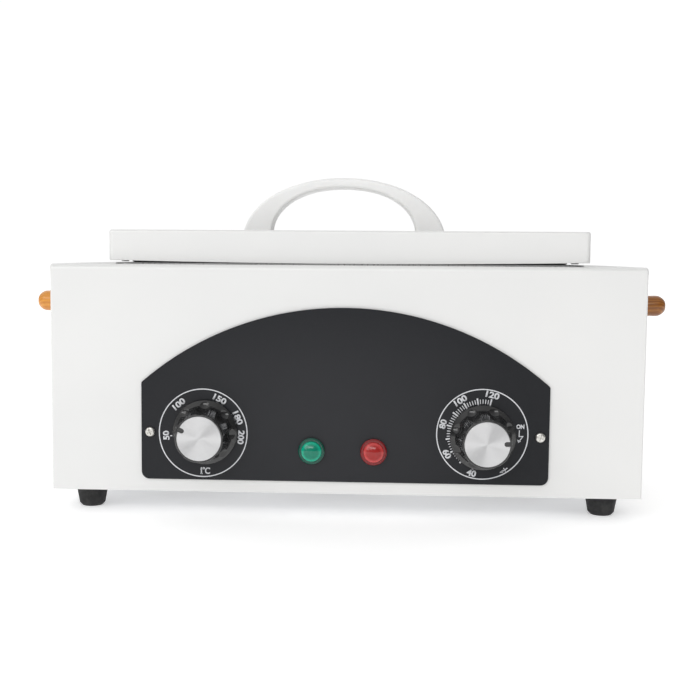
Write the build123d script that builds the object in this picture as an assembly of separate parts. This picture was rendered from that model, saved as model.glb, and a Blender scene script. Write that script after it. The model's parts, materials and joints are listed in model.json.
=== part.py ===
from build123d import *
import math
import os

os.makedirs("parts", exist_ok=True)

# ---------------------------------------------------------------------------
# Driving dimensions, millimetres. x runs left to right seen from the front,
# y runs from the front to the back, z runs up. z = 0 is under the feet.
# ---------------------------------------------------------------------------
CASE_W = 336.0          # case width
CASE_D = 185.0          # case depth
CASE_H = 130.0          # case height without the feet
SHEET = 1.0             # case sheet thickness
BEND_R = 3.0            # outer radius of the two long top bends
EDGE_R = 1.2            # outer radius of the end edges
FOOT_H = 12.5           # rubber foot
PLATE_T = 1.0           # bottom plate
LIP_DEEP = 30.0         # lip under the case at the front and back
LIP_SCREW = 23.0        # its screws, from the front and back faces
Z0 = FOOT_H + PLATE_T   # underside of the case sheet
DECK = Z0 + CASE_H      # top of the case

KNOB_H = 26.5           # knob's face in front of the case front
REAR_OUT = 5.1          # inlet flange and screw heads behind the case
F = -(CASE_D + REAR_OUT - KNOB_H) / 2.0   # y of the case's front face
BACK = F + CASE_D       # y of the case's back face

# front panel: flat plate with an arched top
PANEL_W = 231.0
PANEL_T = 1.2
PANEL_Z = 7.2           # bottom edge above the case's bottom
PANEL_SIDE = 55.7       # height of the straight sides
PANEL_APEX = 99.1       # height of the arch
PANEL_SCREW_X = 110.4
PANEL_SCREW_Z = 34.5

# dials
TEMP_X, TEMP_Z = -78.7, 34.9
TIME_X, TIME_Z = 78.4, 34.2
TEMP_POINTER = 156.0    # pointer angle, anticlockwise from +x seen from the front
TIME_POINTER = 2.0
KNOB_SKIRT_R = 18.5
KNOB_CAP_R = 12.3
SHAFT_R = 3.0
BUSH_R = 5.0
RUN_GAP = 0.05          # radial running clearance

# pilot lamps
LAMP_Z = 24.9
GREEN_X, RED_X = -18.0, 17.2
LAMP_R = 7.5

# chamber group: the tank, its opening and the lid share one centre
XC = 0.9
LID_W = 273.5
LID_D = 167.0
LID_H = 17.6
LID_GAP = 2.1           # lid's lower edge above the deck
LID_SETBACK = 8.0
LID_SHEET = 1.0
LID_LIP = 9.0
LID_CORNER = 2.8        # vertical corner bends
HEM_X, HEM_DROP = 128.0, 1.2   # bow of the lid's front lower edge: half length, drop in the middle
YC = F + LID_SETBACK + LID_D / 2.0
LID_Z = DECK + LID_GAP
LID_TOP = LID_Z + LID_H
LID_REAR = YC + LID_D / 2.0
LID_FRONT = YC - LID_D / 2.0

TANK_X = 238.0          # inside length at the mouth
TANK_Y = 132.0
TANK_T = 0.8
TANK_R = 20.0           # inside corner radius, seen from above
TANK_FLOOR_R = 8.0
TANK_DEPTH = 64.0       # mouth to floor
FLANGE = 16.0           # rim reaching almost to the lid's edge
FLANGE_R = 10.0
TANK_TOP = DECK + TANK_T
TANK_FLOOR = TANK_TOP - TANK_DEPTH
TANK_UNDER = TANK_FLOOR - TANK_T

# lid handle
GRIP_X = -2.4           # handle's middle
GRIP_OUT = (63.0, 39.9, 6.4, 2.06)   # outer arch: half length, height, drop of its centre, exponent
GRIP_IN = (45.0, 29.4, 2.0, 2.17)    # inner arch
GRIP_Y = YC - 15.0
GRIP_DEEP = (19.0, 24.5)             # depth at the feet and at the top

# hinges
HINGE_X = (-88.0, 90.0)
HINGE_W = 36.0
HINGE_AX_Y = LID_REAR + 3.4
HINGE_AX_Z = DECK + 3.3
HINGE_R = 3.0
HINGE_PIN_R = 1.5
LEAF = 1.2

# side knobs
SIDE_Y = F + 78.0
SIDE_Z = Z0 + 105.6
SIDE_L = 29.6
SIDE_R = 6.4

# feet
FOOT_X = 150.0
FOOT_Y = 22.0

# power inlet on the back
INLET_X = 98.0
INLET_Z = Z0 + 34.0


# ---------------------------------------------------------------------------
# helpers
# ---------------------------------------------------------------------------
def bx(x0, x1, y0, y1, z0, z1):
    return Pos((x0 + x1) / 2, (y0 + y1) / 2, (z0 + z1) / 2) * Box(abs(x1 - x0), abs(y1 - y0), abs(z1 - z0))


def cyl_x(y, z, r, x0, x1):
    return Pos((x0 + x1) / 2, y, z) * Rot(0, 90, 0) * Cylinder(r, abs(x1 - x0))


def cyl_y(x, z, r, y0, y1):
    return Pos(x, (y0 + y1) / 2, z) * Rot(90, 0, 0) * Cylinder(r, abs(y1 - y0))


def cyl_z(x, y, r, z0, z1):
    return Pos(x, y, (z0 + z1) / 2) * Cylinder(r, abs(z1 - z0))


def rbox(x0, x1, y0, y1, z0, z1, r):
    return Pos((x0 + x1) / 2, (y0 + y1) / 2, z0) * extrude(RectangleRounded(x1 - x0, y1 - y0, r), z1 - z0)


def hex_y(x, z, af, y0, y1):
    s = Plane.XZ.offset(-y1) * Pos(x, z) * RegularPolygon(af / 2, 6, major_radius=False)
    return extrude(s, y1 - y0)


def hex_z(x, y, af, z0, z1):
    return Pos(x, y, z0) * extrude(RegularPolygon(af / 2, 6, major_radius=False), z1 - z0)


def hex_x(y, z, af, x0, x1):
    return Pos(x0, y, z) * Rot(0, 90, 0) * extrude(RegularPolygon(af / 2, 6, major_radius=False), x1 - x0)


def pan_screw(head_r, head_h, shank_r, length, cross=True):
    """Pan-head screw. Head rises along +z from z = 0, shank goes down."""
    head = Cylinder(head_r, head_h, align=(Align.CENTER, Align.CENTER, Align.MIN))
    top = head.edges().filter_by(GeomType.CIRCLE).group_by(Axis.Z)[-1]
    head = fillet(top, min(head_h * 0.62, head_r * 0.6))
    if cross:
        w = head_r * 0.24
        d = head_h * 0.55
        arm = head_r * 0.62
        z = head_h - d
        slot = Pos(0, 0, z) * Box(2 * arm, w, 2 * d, align=(Align.CENTER, Align.CENTER, Align.MIN))
        slot += Pos(0, 0, z) * Box(w, 2 * arm, 2 * d, align=(Align.CENTER, Align.CENTER, Align.MIN))
        head = head - slot
    shank = Cylinder(shank_r, length, align=(Align.CENTER, Align.CENTER, Align.MAX))
    shank = chamfer(shank.edges().filter_by(GeomType.CIRCLE).group_by(Axis.Z)[0], shank_r * 0.25)
    return head + shank


TO_FRONT = Rot(90, 0, 0)    # local +z becomes -y
TO_BACK = Rot(-90, 0, 0)    # local +z becomes +y
TO_RIGHT = Rot(0, 90, 0)    # local +z becomes +x
TO_LEFT = Rot(0, -90, 0)    # local +z becomes -x
TO_DOWN = Rot(180, 0, 0)    # local +z becomes -z


def tube(points, radii, r, r_in=0.0):
    path = FilletPolyline(*points, radius=radii)
    p0 = Vector(*points[0])
    d = (Vector(*points[1]) - p0).normalized()
    plane = Plane(origin=p0, z_dir=d)
    body = sweep(plane * Circle(r), path=path)
    if r_in > 0:
        body = body - sweep(plane * Circle(r_in), path=path)
    return body


written = []


def solids_of(shape):
    if isinstance(shape, (list, tuple)):
        out = []
        for s in shape:
            out += solids_of(s)
        return out
    return list(shape.solids())


def save(name, shape):
    sol = solids_of(shape)
    obj = sol[0] if len(sol) == 1 else Compound(sol)
    export_step(obj, "parts/" + name + ".step")
    written.append((name, len(sol)))


# ---------------------------------------------------------------------------
# case: folded and welded sheet steel, open underneath, mouth in the top
# ---------------------------------------------------------------------------
def case_shell():
    o = bx(-CASE_W / 2, CASE_W / 2, F, BACK, Z0, DECK)
    long_top = o.edges().filter_by(Axis.X).group_by(Axis.Z)[-1]
    o = fillet(long_top, BEND_R)
    ends = ShapeList([e for e in o.edges() if abs(abs(e.center().X) - CASE_W / 2) < 1e-3
                      and e.center().Z > Z0 + 0.5])
    o = fillet(ends, EDGE_R)
    i = bx(-CASE_W / 2 + SHEET, CASE_W / 2 - SHEET, F + SHEET, BACK - SHEET, Z0 + SHEET, DECK - SHEET)
    i = fillet(i.edges().filter_by(Axis.X).group_by(Axis.Z)[-1], BEND_R - SHEET)
    s = o - i
    # lower opening leaves a 12 mm lip at the sides and a deeper one at the front and back
    s -= bx(-CASE_W / 2 + 12, CASE_W / 2 - 12, F + LIP_DEEP, BACK - LIP_DEEP, Z0 - 1, Z0 + 3)
    # mouth in the top for the tank
    s -= rbox(XC - TANK_X / 2 - 2, XC + TANK_X / 2 + 2, YC - TANK_Y / 2 - 2, YC + TANK_Y / 2 + 2,
              DECK - 5, DECK + 5, TANK_R + 2)
    # front holes
    for x, z in ((TEMP_X, TEMP_Z), (TIME_X, TIME_Z)):
        s -= cyl_y(x, Z0 + z, BUSH_R + 0.15, F - 3, F + 3)
    for x in (GREEN_X, RED_X):
        s -= cyl_y(x, Z0 + LAMP_Z, 6.0, F - 3, F + 3)
    for x in (-PANEL_SCREW_X, PANEL_SCREW_X):
        s -= cyl_y(x, Z0 + PANEL_SCREW_Z, 1.6, F - 3, F + 3)
    # side holes for the knob studs
    for sx in (-1, 1):
        s -= cyl_x(SIDE_Y, SIDE_Z, 2.1, sx * (CASE_W / 2 - 3), sx * (CASE_W / 2 + 3))
    # back: inlet window and its screws
    s -= bx(INLET_X - 13.8, INLET_X + 13.8, BACK - 3, BACK + 3, INLET_Z - 9.9, INLET_Z + 9.9)
    for sx in (-1, 1):
        s -= cyl_y(INLET_X + sx * 20, INLET_Z, 1.6, BACK - 3, BACK + 3)
    # back: hinge screw holes
    for hx in HINGE_X:
        for sx in (-1, 1):
            s -= cyl_y(hx + sx * 11, DECK - 15, 1.6, BACK - 3, BACK + 3)
    # back: two rows of cooling slots
    slots = []
    for row in (0, 1):
        for k in range(9):
            x = -128 + k * 12.0
            zc = Z0 + 22 + row * 26
            sk = Plane.XZ.offset(-(BACK + 2)) * Pos(x, zc) * Rot(0, 0, 90) * SlotOverall(18, 3.0)
            slots.append(extrude(sk, 4))
    s -= slots
    # lip holes for the bottom plate's screws
    for x in (-159.5, 159.5):
        for y in (F + 45, F + CASE_D - 45):
            s -= cyl_z(x, y, 1.6, Z0 - 1, Z0 + 2)
    for x in (-70, 70):
        for y in (F + LIP_SCREW, BACK - LIP_SCREW):
            s -= cyl_z(x, y, 1.6, Z0 - 1, Z0 + 2)
    for x in (-FOOT_X, FOOT_X):
        for y in (F + FOOT_Y, BACK - FOOT_Y):
            s -= cyl_z(x, y, 2.1, Z0 - 1, Z0 + 2)
    return s


save("outer_shell", case_shell())

# bottom plate under the lip
bp = rbox(-163.5, 163.5, F + 4.5, BACK - 4.5, Z0 - PLATE_T, Z0, 3.0)
for x in (-159.5, 159.5):
    for y in (F + 45, F + CASE_D - 45):
        bp -= cyl_z(x, y, 1.6, Z0 - 3, Z0 + 2)
for x in (-70, 70):
    for y in (F + LIP_SCREW, BACK - LIP_SCREW):
        bp -= cyl_z(x, y, 1.6, Z0 - 3, Z0 + 2)
for x in (-FOOT_X, FOOT_X):
    for y in (F + FOOT_Y, BACK - FOOT_Y):
        bp -= cyl_z(x, y, 2.1, Z0 - 3, Z0 + 2)
vents = []
for gx in (-95.0, 0.0, 95.0):
    for k in range(7):
        vents.append(Pos(gx, F + 50 + k * 14.0, Z0 - 3) * extrude(SlotOverall(52, 3.4), 6))
bp -= vents
save("bottom_plate", bp)

scr = []
for x in (-159.5, 159.5):
    for y in (F + 45, F + CASE_D - 45):
        scr.append(Pos(x, y, Z0 - PLATE_T) * TO_DOWN * pan_screw(2.8, 1.9, 1.6, 6.5))
for x in (-70, 70):
    for y in (F + LIP_SCREW, BACK - LIP_SCREW):
        scr.append(Pos(x, y, Z0 - PLATE_T) * TO_DOWN * pan_screw(2.8, 1.9, 1.6, 6.5))
save("bottom_screws", scr)


# feet: tapered rubber with a rounded tread and a sunk screw
def foot(x, y):
    prof = Polyline((0, 0), (6.0, 0), (7.55, 1.6), (9.2, FOOT_H - 1.6), (9.8, FOOT_H - 1.0), (9.8, FOOT_H), (0, FOOT_H), close=True)
    f = revolve(Plane.XZ * make_face(prof), axis=Axis.Z)
    low = [e for e in f.edges().filter_by(GeomType.CIRCLE) if e.center().Z < 2.2 and e.center().Z > 1.0]
    f = fillet(low, 1.2)
    f -= cyl_z(0, 0, 3.8, -1, 6.0)
    f -= cyl_z(0, 0, 2.1, 0, FOOT_H + 1)
    return Pos(x, y, 0) * f


save("front_left_foot", foot(-FOOT_X, F + FOOT_Y))
save("front_right_foot", foot(FOOT_X, F + FOOT_Y))
save("rear_left_foot", foot(-FOOT_X, BACK - FOOT_Y))
save("rear_right_foot", foot(FOOT_X, BACK - FOOT_Y))
fs = []
for x in (-FOOT_X, FOOT_X):
    for y in (F + FOOT_Y, BACK - FOOT_Y):
        one = Pos(x, y, 6.0) * TO_DOWN * pan_screw(3.5, 2.4, 2.05, FOOT_H - 6.0 + PLATE_T + 5.0)
        fs.append(one)
        n = hex_z(x, y, 7.0, Z0 + SHEET, Z0 + SHEET + 3.2) - cyl_z(x, y, 2.05, Z0 - 1, Z0 + 5)
        fs.append(n)
save("foot_screws", fs)

# ---------------------------------------------------------------------------
# front panel
# ---------------------------------------------------------------------------
hw = PANEL_W / 2
zb = Z0 + PANEL_Z
l1 = Line((-hw, zb), (hw, zb))
l2 = Line((hw, zb), (hw, zb + PANEL_SIDE))
arc = ThreePointArc((hw, zb + PANEL_SIDE), (0, zb + PANEL_APEX), (-hw, zb + PANEL_SIDE))
l3 = Line((-hw, zb + PANEL_SIDE), (-hw, zb))
pf = make_face([l1, l2, arc, l3])
low_v = [v for v in pf.vertices() if v.Y < zb + 1]
pf = fillet(low_v, 4.5)
up_v = [v for v in pf.vertices() if abs(v.Y - (zb + PANEL_SIDE)) < 0.5]
pf = fillet(up_v, 1.6)
panel = extrude(Plane.XZ.offset(-F) * pf, PANEL_T)
for x, z in ((TEMP_X, TEMP_Z), (TIME_X, TIME_Z)):
    panel -= cyl_y(x, Z0 + z, BUSH_R + 0.15, F - 3, F + 3)
for x in (GREEN_X, RED_X):
    panel -= cyl_y(x, Z0 + LAMP_Z, 6.0, F - 3, F + 3)
for x in (-PANEL_SCREW_X, PANEL_SCREW_X):
    panel -= cyl_y(x, Z0 + PANEL_SCREW_Z, 1.6, F - 3, F + 3)
save("front_panel", panel)

ps, pn = [], []
for k, x in enumerate((-PANEL_SCREW_X, PANEL_SCREW_X)):
    ps.append(Pos(x, F - PANEL_T, Z0 + PANEL_SCREW_Z) * TO_FRONT * Rot(0, 0, 28 - 45 * k) * pan_screw(2.8, 1.9, 1.6, 9.0))
    pn.append(hex_y(x, Z0 + PANEL_SCREW_Z, 5.5, F + SHEET, F + SHEET + 2.4)
              - cyl_y(x, Z0 + PANEL_SCREW_Z, 1.6, F, F + 6))
save("panel_screws", ps)
save("panel_nuts", pn)


# ---------------------------------------------------------------------------
# knobs: fluted grip on a round skirt, aluminium cap let into the face
# ---------------------------------------------------------------------------
def knob_parts(pointer):
    """Built on +z = out of the panel, z = 0 at the case's front face."""
    back, face = PANEL_T + 0.9, KNOB_H - 0.3
    r_low, r_top = 15.3, 13.5
    rim, sk = 3.6, 6.9
    prof = make_face(Polyline((0, back), (KNOB_SKIRT_R, back), (KNOB_SKIRT_R, rim), (r_low + 0.5, sk - 0.7),
                              (r_low, sk), (r_top, face), (0, face), close=True))
    body = revolve(Plane.XZ * prof, axis=Axis.Z)
    e = [c for c in body.edges().filter_by(GeomType.CIRCLE) if c.radius > KNOB_SKIRT_R - 0.01 and c.center().Z > rim - 0.1]
    body = fillet(e, 0.7)
    top = [c for c in body.edges().filter_by(GeomType.CIRCLE) if c.center().Z > face - 0.01]
    body = fillet(top, 0.8)
    # eight flutes, each running out in a scoop on the skirt
    rc, z_run = 5.2, 9.6
    for k in range(8):
        a = pointer + 22.5 + 45 * k
        flute = Cylinder(rc, 30, align=(Align.CENTER, Align.CENTER, Align.MIN)) + Sphere(rc)
        body -= Pos(0, 0, z_run) * Rot(0, 0, a) * Pos(12.9 + rc, 0, 0) * Rot(0, 1.0, 0) * flute
    edges = [c for c in body.edges() if c.length > 2.0 and KNOB_SKIRT_R - 0.9 > math.hypot(c.center().X, c.center().Y) > 12.6
             and rim + 0.4 < c.center().Z < face + 0.1 and c.geom_type != GeomType.CIRCLE]
    for size in (0.6, 0.45, 0.3):
        try:
            body = fillet(edges, size)
            print("flute edges", size, len(edges))
            break
        except Exception:
            continue
    else:
        print("flute edges left sharp", len(edges))
    # hollow underneath, over the nut
    body -= Pos(0, 0, back - 1) * Cylinder(13.2, 5.1, align=(Align.CENTER, Align.CENTER, Align.MIN))
    # pocket for the cap
    body -= Pos(0, 0, face - 0.6) * Cylinder(KNOB_CAP_R, 3, align=(Align.CENTER, Align.CENTER, Align.MIN))
    # shaft bore, with the shaft's flat
    bore = Pos(0, 0, back) * Cylinder(SHAFT_R, 15.0, align=(Align.CENTER, Align.CENTER, Align.MIN))
    bore -= Rot(0, 0, pointer) * bx(-5, -SHAFT_R + 1.3, -5, 5, 0, 40)
    body -= bore
    cap = Pos(0, 0, face - 0.6) * Cylinder(KNOB_CAP_R, 0.9, align=(Align.CENTER, Align.CENTER, Align.MIN))
    cap = chamfer(cap.edges().filter_by(GeomType.CIRCLE).group_by(Axis.Z)[-1], 0.2)
    notch = Pos(KNOB_CAP_R - 1.9, 0, face - 2) * Cylinder(1.35, 5, align=(Align.CENTER, Align.CENTER, Align.MIN))
    notch += bx(KNOB_CAP_R - 1.9, KNOB_CAP_R + 2, -1.35, 1.35, face - 2, face + 3)
    cap -= Rot(0, 0, pointer) * notch
    shaft = Pos(0, 0, -11.0) * Cylinder(SHAFT_R, 11.0 + back + 15.0, align=(Align.CENTER, Align.CENTER, Align.MIN))
    shaft -= Rot(0, 0, pointer) * bx(-5, -SHAFT_R + 1.3, -5, 5, 6.0, 40)
    return body, cap, shaft


def on_front(x, z):
    return Pos(x, F, Z0 + z) * TO_FRONT


kb, kc, ks = knob_parts(TEMP_POINTER)
save("temperature_knob", on_front(TEMP_X, TEMP_Z) * kb)
save("temperature_knob_cap", on_front(TEMP_X, TEMP_Z) * kc)
save("thermostat_shaft", on_front(TEMP_X, TEMP_Z) * ks)
kb, kc, ks = knob_parts(TIME_POINTER)
save("timer_knob", on_front(TIME_X, TIME_Z) * kb)
save("timer_knob_cap", on_front(TIME_X, TIME_Z) * kc)
save("timer_shaft", on_front(TIME_X, TIME_Z) * ks)


# thermostat and timer bodies behind the panel, each with a threaded bush
def control_body(x, z, half_w, half_h, depth, r):
    b = rbox(-half_w, half_w, -half_h, half_h, 0, depth, r)
    b = fillet(b.edges().group_by(Axis.Z)[-1], 1.5)
    b = Pos(x, F + SHEET, Z0 + z) * TO_BACK * b
    b += cyl_y(x, Z0 + z, BUSH_R, F - 5.4, F + SHEET + 1)
    b -= cyl_y(x, Z0 + z, SHAFT_R + RUN_GAP, F - 8, F + 11.5)
    return b


th = control_body(TEMP_X, TEMP_Z, 19, 17, 27, 4)
for dx in (-9, 9):
    th += bx(TEMP_X + dx - 3.1, TEMP_X + dx + 3.1, F + 27, F + 37, Z0 + TEMP_Z - 10.4, Z0 + TEMP_Z - 9.6)
save("thermostat_body", th)
tm = control_body(TIME_X, TIME_Z, 21, 20, 33, 3)
for dx in (-9, 9):
    tm += bx(TIME_X + dx - 3.1, TIME_X + dx + 3.1, F + 33, F + 43, Z0 + TIME_Z - 12.4, Z0 + TIME_Z - 11.6)
save("timer_body", tm)
nuts = []
for x, z in ((TEMP_X, TEMP_Z), (TIME_X, TIME_Z)):
    n = hex_y(x, Z0 + z, 14.0, F - PANEL_T - 2.6, F - PANEL_T) - cyl_y(x, Z0 + z, BUSH_R, F - 8, F)
    nuts.append(n)
save("control_nuts", nuts)


# ---------------------------------------------------------------------------
# pilot lamps
# ---------------------------------------------------------------------------
def lens():
    z = PANEL_T

    def cap_arc(x, low, top, xm):
        # arc centred on the axis from (x, low) to (0, top): its radius and its point at xm
        r = (x * x + (top - low) ** 2) / (2 * (top - low))
        return xm, top - r + math.sqrt(r * r - xm * xm)

    prof = make_face([
        Line((4.3, z), (LAMP_R, z)),
        Line((LAMP_R, z), (LAMP_R, z + 1.7)),
        Line((LAMP_R, z + 1.7), (LAMP_R - 0.7, z + 2.4)),
        Line((LAMP_R - 0.7, z + 2.4), (5.9, z + 2.4)),
        Line((5.9, z + 2.4), (5.5, z + 3.6)),
        ThreePointArc((5.5, z + 3.6), cap_arc(5.5, z + 3.6, z + 5.6, 3.0), (0, z + 5.6)),
        Line((0, z + 5.6), (0, z + 4.3)),
        ThreePointArc((0, z + 4.3), cap_arc(4.2, z + 2.9, z + 4.3, 2.2), (4.2, z + 2.9)),
        Line((4.2, z + 2.9), (4.3, z)),
    ])
    return revolve(Plane.XZ * prof, axis=Axis.Z)


def lamp_body():
    b = Pos(0, 0, PANEL_T) * Cylinder(5.9, 16.0 + PANEL_T, align=(Align.CENTER, Align.CENTER, Align.MAX))
    b += Pos(0, 0, -16.0) * Cylinder(4.4, 8.0, align=(Align.CENTER, Align.CENTER, Align.MAX))
    b -= Pos(0, 0, PANEL_T + 1) * Cylinder(4.2, 15.0, align=(Align.CENTER, Align.CENTER, Align.MAX))
    return b


def neon():
    b = Pos(0, 0, -11.0) * Cylinder(2.6, 12.6, align=(Align.CENTER, Align.CENTER, Align.MIN))
    b = fillet(b.edges().filter_by(GeomType.CIRCLE).group_by(Axis.Z)[-1], 2.3)
    b += Pos(0, 0, PANEL_T + 1 - 15.0) * Cylinder(3.4, 3.2, align=(Align.CENTER, Align.CENTER, Align.MIN))
    return b


save("green_lamp_lens", on_front(GREEN_X, LAMP_Z) * lens())
save("red_lamp_lens", on_front(RED_X, LAMP_Z) * lens())
save("green_lamp_body", on_front(GREEN_X, LAMP_Z) * lamp_body())
save("red_lamp_body", on_front(RED_X, LAMP_Z) * lamp_body())
save("neon_bulbs", [on_front(GREEN_X, LAMP_Z) * neon(), on_front(RED_X, LAMP_Z) * neon()])
clips = []
for x in (GREEN_X, RED_X):
    clips.append(cyl_y(x, Z0 + LAMP_Z, 8.5, F + SHEET, F + SHEET + 0.8) - cyl_y(x, Z0 + LAMP_Z, 5.9, F, F + 3))
save("lamp_clips", clips)

# ---------------------------------------------------------------------------
# chamber tank: deep-drawn stainless bowl with a flat flange on the deck
# ---------------------------------------------------------------------------
def bowl(lx, ly, r, z_floor, z_top, r_floor):
    b = rbox(XC - lx / 2, XC + lx / 2, YC - ly / 2, YC + ly / 2, z_floor, z_top, r)
    return fillet(b.edges().group_by(Axis.Z)[0], r_floor)


tank = bowl(TANK_X + 2 * TANK_T, TANK_Y + 2 * TANK_T, TANK_R + TANK_T, TANK_UNDER, TANK_TOP, TANK_FLOOR_R + TANK_T)
tank += rbox(XC - TANK_X / 2 - FLANGE, XC + TANK_X / 2 + FLANGE, YC - TANK_Y / 2 - FLANGE, YC + TANK_Y / 2 + FLANGE,
             DECK, TANK_TOP, FLANGE_R)
tank -= bowl(TANK_X, TANK_Y, TANK_R, TANK_FLOOR, TANK_TOP + 6, TANK_FLOOR_R)
mouth = [e for e in tank.edges() if abs(e.center().Z - TANK_TOP) < 1e-3
         and abs(e.center().X - XC) <= TANK_X / 2 + 0.01 and abs(e.center().Y - YC) <= TANK_Y / 2 + 0.01]
tank = fillet(mouth, 0.7)
save("chamber_tank", tank)

tc = []
for sx in (-1, 1):
    for dy in (-30, 30):
        xa = XC + sx * (TANK_X / 2 + TANK_T)
        xb = xa + sx * 1.0
        y0, y1 = YC + dy - 9, YC + dy + 9
        c = bx(min(xa, xb), max(xa, xb), y0, y1, DECK - SHEET - 16, DECK - SHEET)
        xe = xa + sx * 9.0
        c += bx(min(xa, xe), max(xa, xe), y0, y1, DECK - SHEET - 1.0, DECK - SHEET)
        tc.append(c)
save("tank_clips", tc)

# heating element: sheathed tube bent to four runs under the floor
HT_R = 3.2
hz = TANK_UNDER - HT_R
ys = [YC - 42, YC - 14, YC + 14, YC + 42]
xr, xl, xm = XC + 104.0, XC - 96.0, XC + 84.0
z_low = Z0 + 38.0
pts = [(xr, ys[0], z_low), (xr, ys[0], hz), (xl, ys[0], hz), (xl, ys[1], hz), (xm, ys[1], hz), (xm, ys[2], hz),
       (xl, ys[2], hz), (xl, ys[3], hz), (xr, ys[3], hz), (xr, ys[3], z_low)]
rad = [9.0, 13.9, 13.9, 13.9, 13.9, 13.9, 13.9, 9.0]
he = tube(pts, rad, HT_R)
for y in (ys[0], ys[3]):
    he += cyl_z(xr, y, 1.6, z_low - 7, z_low + 1)
save("heating_element", he)

CLAMP_Z1 = hz - HT_R
cp = rbox(XC - 92, XC + 90, YC - 52, YC + 52, CLAMP_Z1 - 1.2, CLAMP_Z1, 4)
studs = []
for sx in (-60, 60):
    for dy in (-28, 28):
        cp -= cyl_z(XC + sx, YC + dy, 2.2, CLAMP_Z1 - 3, CLAMP_Z1 + 2)
        studs.append(cyl_z(XC + sx, YC + dy, 2.0, CLAMP_Z1 - 7.0, TANK_UNDER))
        studs.append(hex_z(XC + sx, YC + dy, 7.0, CLAMP_Z1 - 4.4, CLAMP_Z1 - 1.2)
                     - cyl_z(XC + sx, YC + dy, 2.0, CLAMP_Z1 - 8, CLAMP_Z1 + 2))
save("heater_clamp_plate", cp)
save("heater_studs", studs)

cut_z = CLAMP_Z1 - 1.2
tcut = cyl_z(XC, YC, 8.0, cut_z - 7.0, cut_z)
tcut += rbox(XC - 15, XC + 15, YC - 5, YC + 5, cut_z - 1.0, cut_z, 4.9)
for dx in (-4.5, 4.5):
    tcut += bx(XC + dx - 0.4, XC + dx + 0.4, YC - 3.1, YC + 3.1, cut_z - 15, cut_z - 6)
save("thermal_cutout", tcut)

# thermostat bulb and its capillary
bz = TANK_UNDER - 3.0
by = YC - 53.0
cap_pts = [(TEMP_X - 12, F + 28, Z0 + 40), (TEMP_X - 12, by, Z0 + 40), (TEMP_X - 12, by, bz), (TEMP_X + 6, by, bz)]
bulb = tube(cap_pts, [3.0, 5.0], 0.8)
bulb += cyl_x(by, bz, 3.0, TEMP_X + 5.0, TEMP_X + 75.0)
save("thermostat_bulb", bulb)

# insulation round the tank
ix, iy = TANK_X / 2 + TANK_T + 1.3, TANK_Y / 2 + TANK_T + 1.3
ins = rbox(XC - ix - 13, XC + ix + 13, YC - iy - 8.5, YC + iy + 11, Z0 + 46, DECK - 4, 14)
ins -= rbox(XC - ix, XC + ix, YC - iy, YC + iy, Z0 + 56, DECK, TANK_R + 1)
ins -= bx(XC - 150, XC + 150, F, F + 44.5, Z0 + 40, Z0 + 60)
for y in (ys[0], ys[3]):
    ins -= cyl_z(xr, y, 4.5, Z0 + 40, Z0 + 60)
for sx in (-60, 60):
    for dy in (-28, 28):
        ins -= cyl_z(XC + sx, YC + dy, 6.0, CLAMP_Z1 - 9, Z0 + 60)
ins -= cyl_z(XC, YC, 16.5, Z0 + 40, Z0 + 60)
save("insulation_blanket", ins)

# ceramic terminal block on the bottom plate
tb = rbox(-14, 14, BACK - 66, BACK - 46, Z0, Z0 + 17, 2)
for dx in (-8.5, 0, 8.5):
    tb -= cyl_y(dx, Z0 + 7, 2.0, BACK - 70, BACK - 40)
    tb -= cyl_z(dx, BACK - 60.5, 1.8, Z0 + 7, Z0 + 20)
    tb -= cyl_z(dx, BACK - 51.5, 1.8, Z0 + 7, Z0 + 20)
save("terminal_block", tb)

# wiring inside the case, plain round leads on tangent arcs
WR = 1.2
wires = []
zt = Z0 + 7.0
# inlet line and neutral to the block's back
wires.append(tube([(INLET_X - 7, BACK - 25.2, INLET_Z - 2), (INLET_X - 7, BACK - 36, INLET_Z - 2), (INLET_X - 7, BACK - 36, zt),
                   (8.5, BACK - 36, zt), (8.5, BACK - 45.9, zt)], [4, 4, 4], WR))
wires.append(tube([(INLET_X + 7, BACK - 25.2, INLET_Z - 2), (INLET_X + 7, BACK - 32, INLET_Z - 2), (INLET_X + 7, BACK - 32, zt + 5),
                   (0, BACK - 32, zt + 5), (0, BACK - 38, zt), (0, BACK - 45.9, zt)], [3, 4, 3, 2], WR))
# block to the timer, timer to the thermostat
wires.append(tube([(8.5, BACK - 66.1, zt), (8.5, BACK - 80, zt), (TIME_X - 9, F + 56, zt), (TIME_X - 9, F + 56, Z0 + TIME_Z - 12),
                   (TIME_X - 9, F + 43.1, Z0 + TIME_Z - 12)], [5, 6, 5], WR))
wires.append(tube([(TIME_X + 9, F + 43.1, Z0 + TIME_Z - 12), (TIME_X + 9, F + 62, Z0 + TIME_Z - 12), (TEMP_X + 9, F + 62, Z0 + TEMP_Z - 10),
                   (TEMP_X + 9, F + 37.1, Z0 + TEMP_Z - 10)], [8, 8], WR))
# thermostat to the heater, heater back to the block
wires.append(tube([(TEMP_X - 9, F + 37.1, Z0 + TEMP_Z - 10), (TEMP_X - 9, F + 70, Z0 + TEMP_Z - 10), (xr, F + 70, z_low - 18),
                   (xr, ys[0], z_low - 18), (xr, ys[0], z_low - 7)], [10, 8, 5], WR))
wires.append(tube([(xr, ys[3], z_low - 7), (xr, ys[3], z_low - 20), (40, F + 108, z_low - 20), (-8.5, F + 108, z_low - 20),
                   (-8.5, F + 108, zt), (-8.5, BACK - 66.1, zt)], [6, 6, 4, 4], WR))
save("wiring_loom", wires)


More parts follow.
